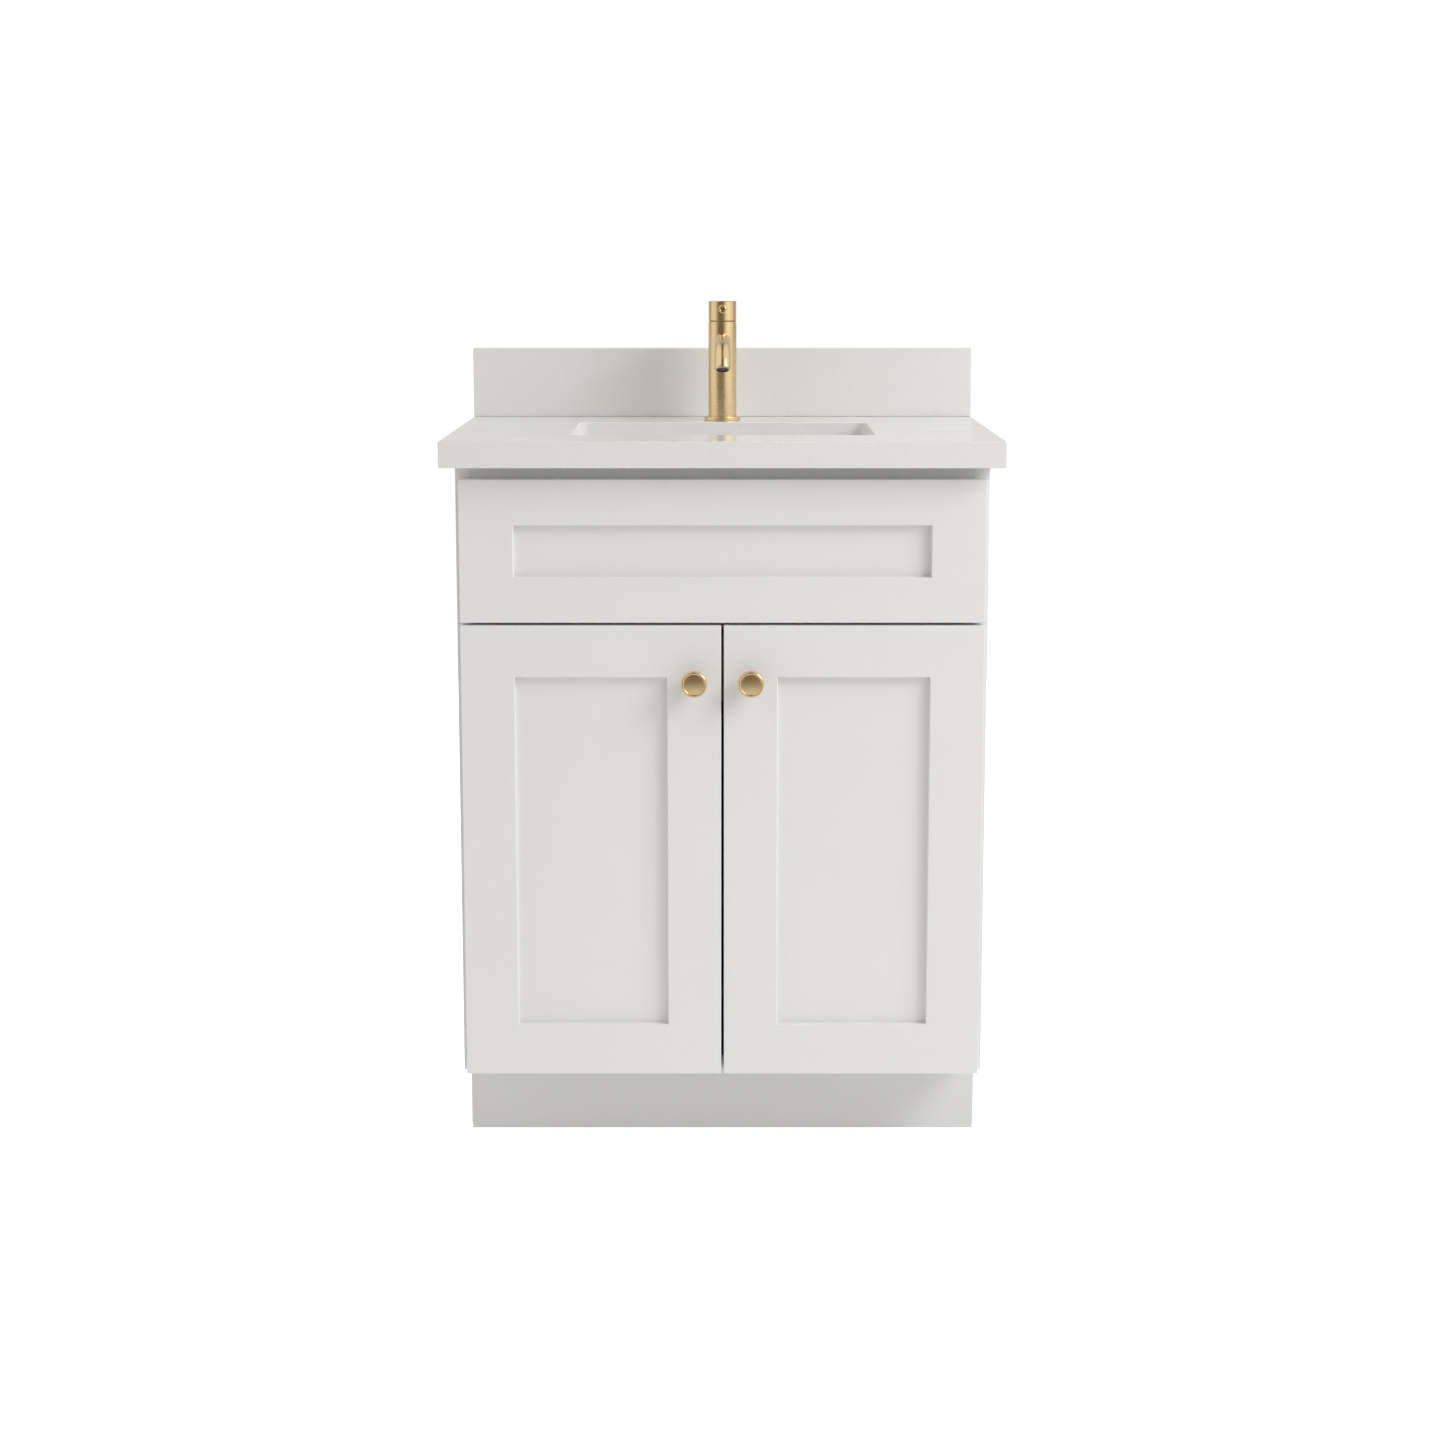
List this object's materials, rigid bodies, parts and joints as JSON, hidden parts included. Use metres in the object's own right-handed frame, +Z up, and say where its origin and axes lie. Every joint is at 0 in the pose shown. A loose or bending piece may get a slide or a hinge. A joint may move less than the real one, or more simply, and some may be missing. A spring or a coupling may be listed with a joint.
{
  "type": "bathroom vanity cabinet",
  "caption": "White shaker bathroom vanity cabinet with stone top, backsplash, undermount basin, single-lever faucet, false drawer front and hinged doors.",
  "frame": {"origin": "on the floor, under the middle of the countertop's outline", "axes": "+Z up, the doors and drawer front face -Y, +X is to the right as seen from the front"},
  "size_m": [0.638, 0.483, 0.988],
  "materials": {
    "white_lacquer": "satin white lacquer on MDF",
    "white_cabinet_board": "satin white laminate on board",
    "white_quartz": "polished engineered stone",
    "vitreous_china": "glossy glaze",
    "brushed_gold": "brushed and lacquered",
    "raw_brass": "machined",
    "nickel_steel": "nickel plated",
    "zinc_steel": "zinc plated",
    "beech": "plain",
    "black_rubber": "moulded",
    "clear_bumper": "soft moulded",
    "black_plastic": "moulded",
    "cartridge_plastic": "moulded"
  },
  "bodies": {
    "cabinet": {"side_panel_left": "white_cabinet_board", "side_panel_right": "white_cabinet_board", "bottom_panel": "white_cabinet_board", "top_front_rail": "white_cabinet_board", "mid_rail": "white_cabinet_board", "toe_kick_board": "white_lacquer", "back_rail_upper": "white_cabinet_board", "back_panel": "white_cabinet_board", "carcass_dowels": "beech", "false_front_stile_left": "white_lacquer", "false_front_stile_right": "white_lacquer", "false_front_rail_top": "white_lacquer", "false_front_rail_bottom": "white_lacquer", "false_front_panel": "white_lacquer", "false_front_spacers": "clear_bumper", "false_front_screws": "zinc_steel", "countertop": "white_quartz", "backsplash": "white_quartz", "sink_basin": "vitreous_china", "sink_clips": "zinc_steel", "faucet_base": "brushed_gold", "faucet_body": "brushed_gold", "faucet_spout": "brushed_gold", "faucet_aerator": "black_plastic", "faucet_cartridge": "cartridge_plastic", "faucet_shank": "raw_brass", "faucet_nut": "raw_brass", "drain_body": "brushed_gold", "drain_gasket": "black_rubber", "drain_locknut": "raw_brass", "drain_tailpiece": "brushed_gold", "hinge_plates": "nickel_steel", "hinge_arms": "nickel_steel", "hinge_screws": "zinc_steel"},
    "faucet_spindle": {"faucet_spindle": "raw_brass"},
    "faucet_handle": {"faucet_cap": "brushed_gold", "faucet_lever": "brushed_gold", "faucet_cross_pin": "zinc_steel"},
    "drain_stopper": {"drain_stopper": "brushed_gold", "stopper_seal": "black_rubber"},
    "left_door": {"left_door_hinge_stile": "white_lacquer", "left_door_latch_stile": "white_lacquer", "left_door_rail_top": "white_lacquer", "left_door_rail_bottom": "white_lacquer", "left_door_panel": "white_lacquer", "left_knob": "brushed_gold", "left_door_screws": "zinc_steel", "left_hinge_cups": "nickel_steel", "left_hinge_pins": "zinc_steel", "left_door_bumpers": "clear_bumper"},
    "right_door": {"right_door_hinge_stile": "white_lacquer", "right_door_latch_stile": "white_lacquer", "right_door_rail_top": "white_lacquer", "right_door_rail_bottom": "white_lacquer", "right_door_panel": "white_lacquer", "right_knob": "brushed_gold", "right_door_screws": "zinc_steel", "right_hinge_cups": "nickel_steel", "right_hinge_pins": "zinc_steel", "right_door_bumpers": "clear_bumper"}
  },
  "joints": [
    {"name": "left_door_swing", "type": "hinge", "parent": "cabinet", "child": "left_door", "pos_m": [-0.2927, -0.203, 0.363], "axis": [0, 0, -1], "range_deg": [0, 105]},
    {"name": "right_door_swing", "type": "hinge", "parent": "cabinet", "child": "right_door", "pos_m": [0.2927, -0.203, 0.363], "axis": [0, 0, 1], "range_deg": [0, 105]},
    {"name": "faucet_temperature", "type": "hinge", "parent": "cabinet", "child": "faucet_spindle", "pos_m": [0, 0.1475, 0.9762], "axis": [0, 0, 1], "range_deg": [-45, 45]},
    {"name": "faucet_flow", "type": "hinge", "parent": "faucet_spindle", "child": "faucet_handle", "pos_m": [0, 0.1475, 0.9762], "axis": [-1, 0, 0], "range_deg": [0, 25]},
    {"name": "stopper_lift", "type": "slide", "parent": "cabinet", "child": "drain_stopper", "axis": [0, 0, 1], "range_m": [0, 0.008]}
  ]
}
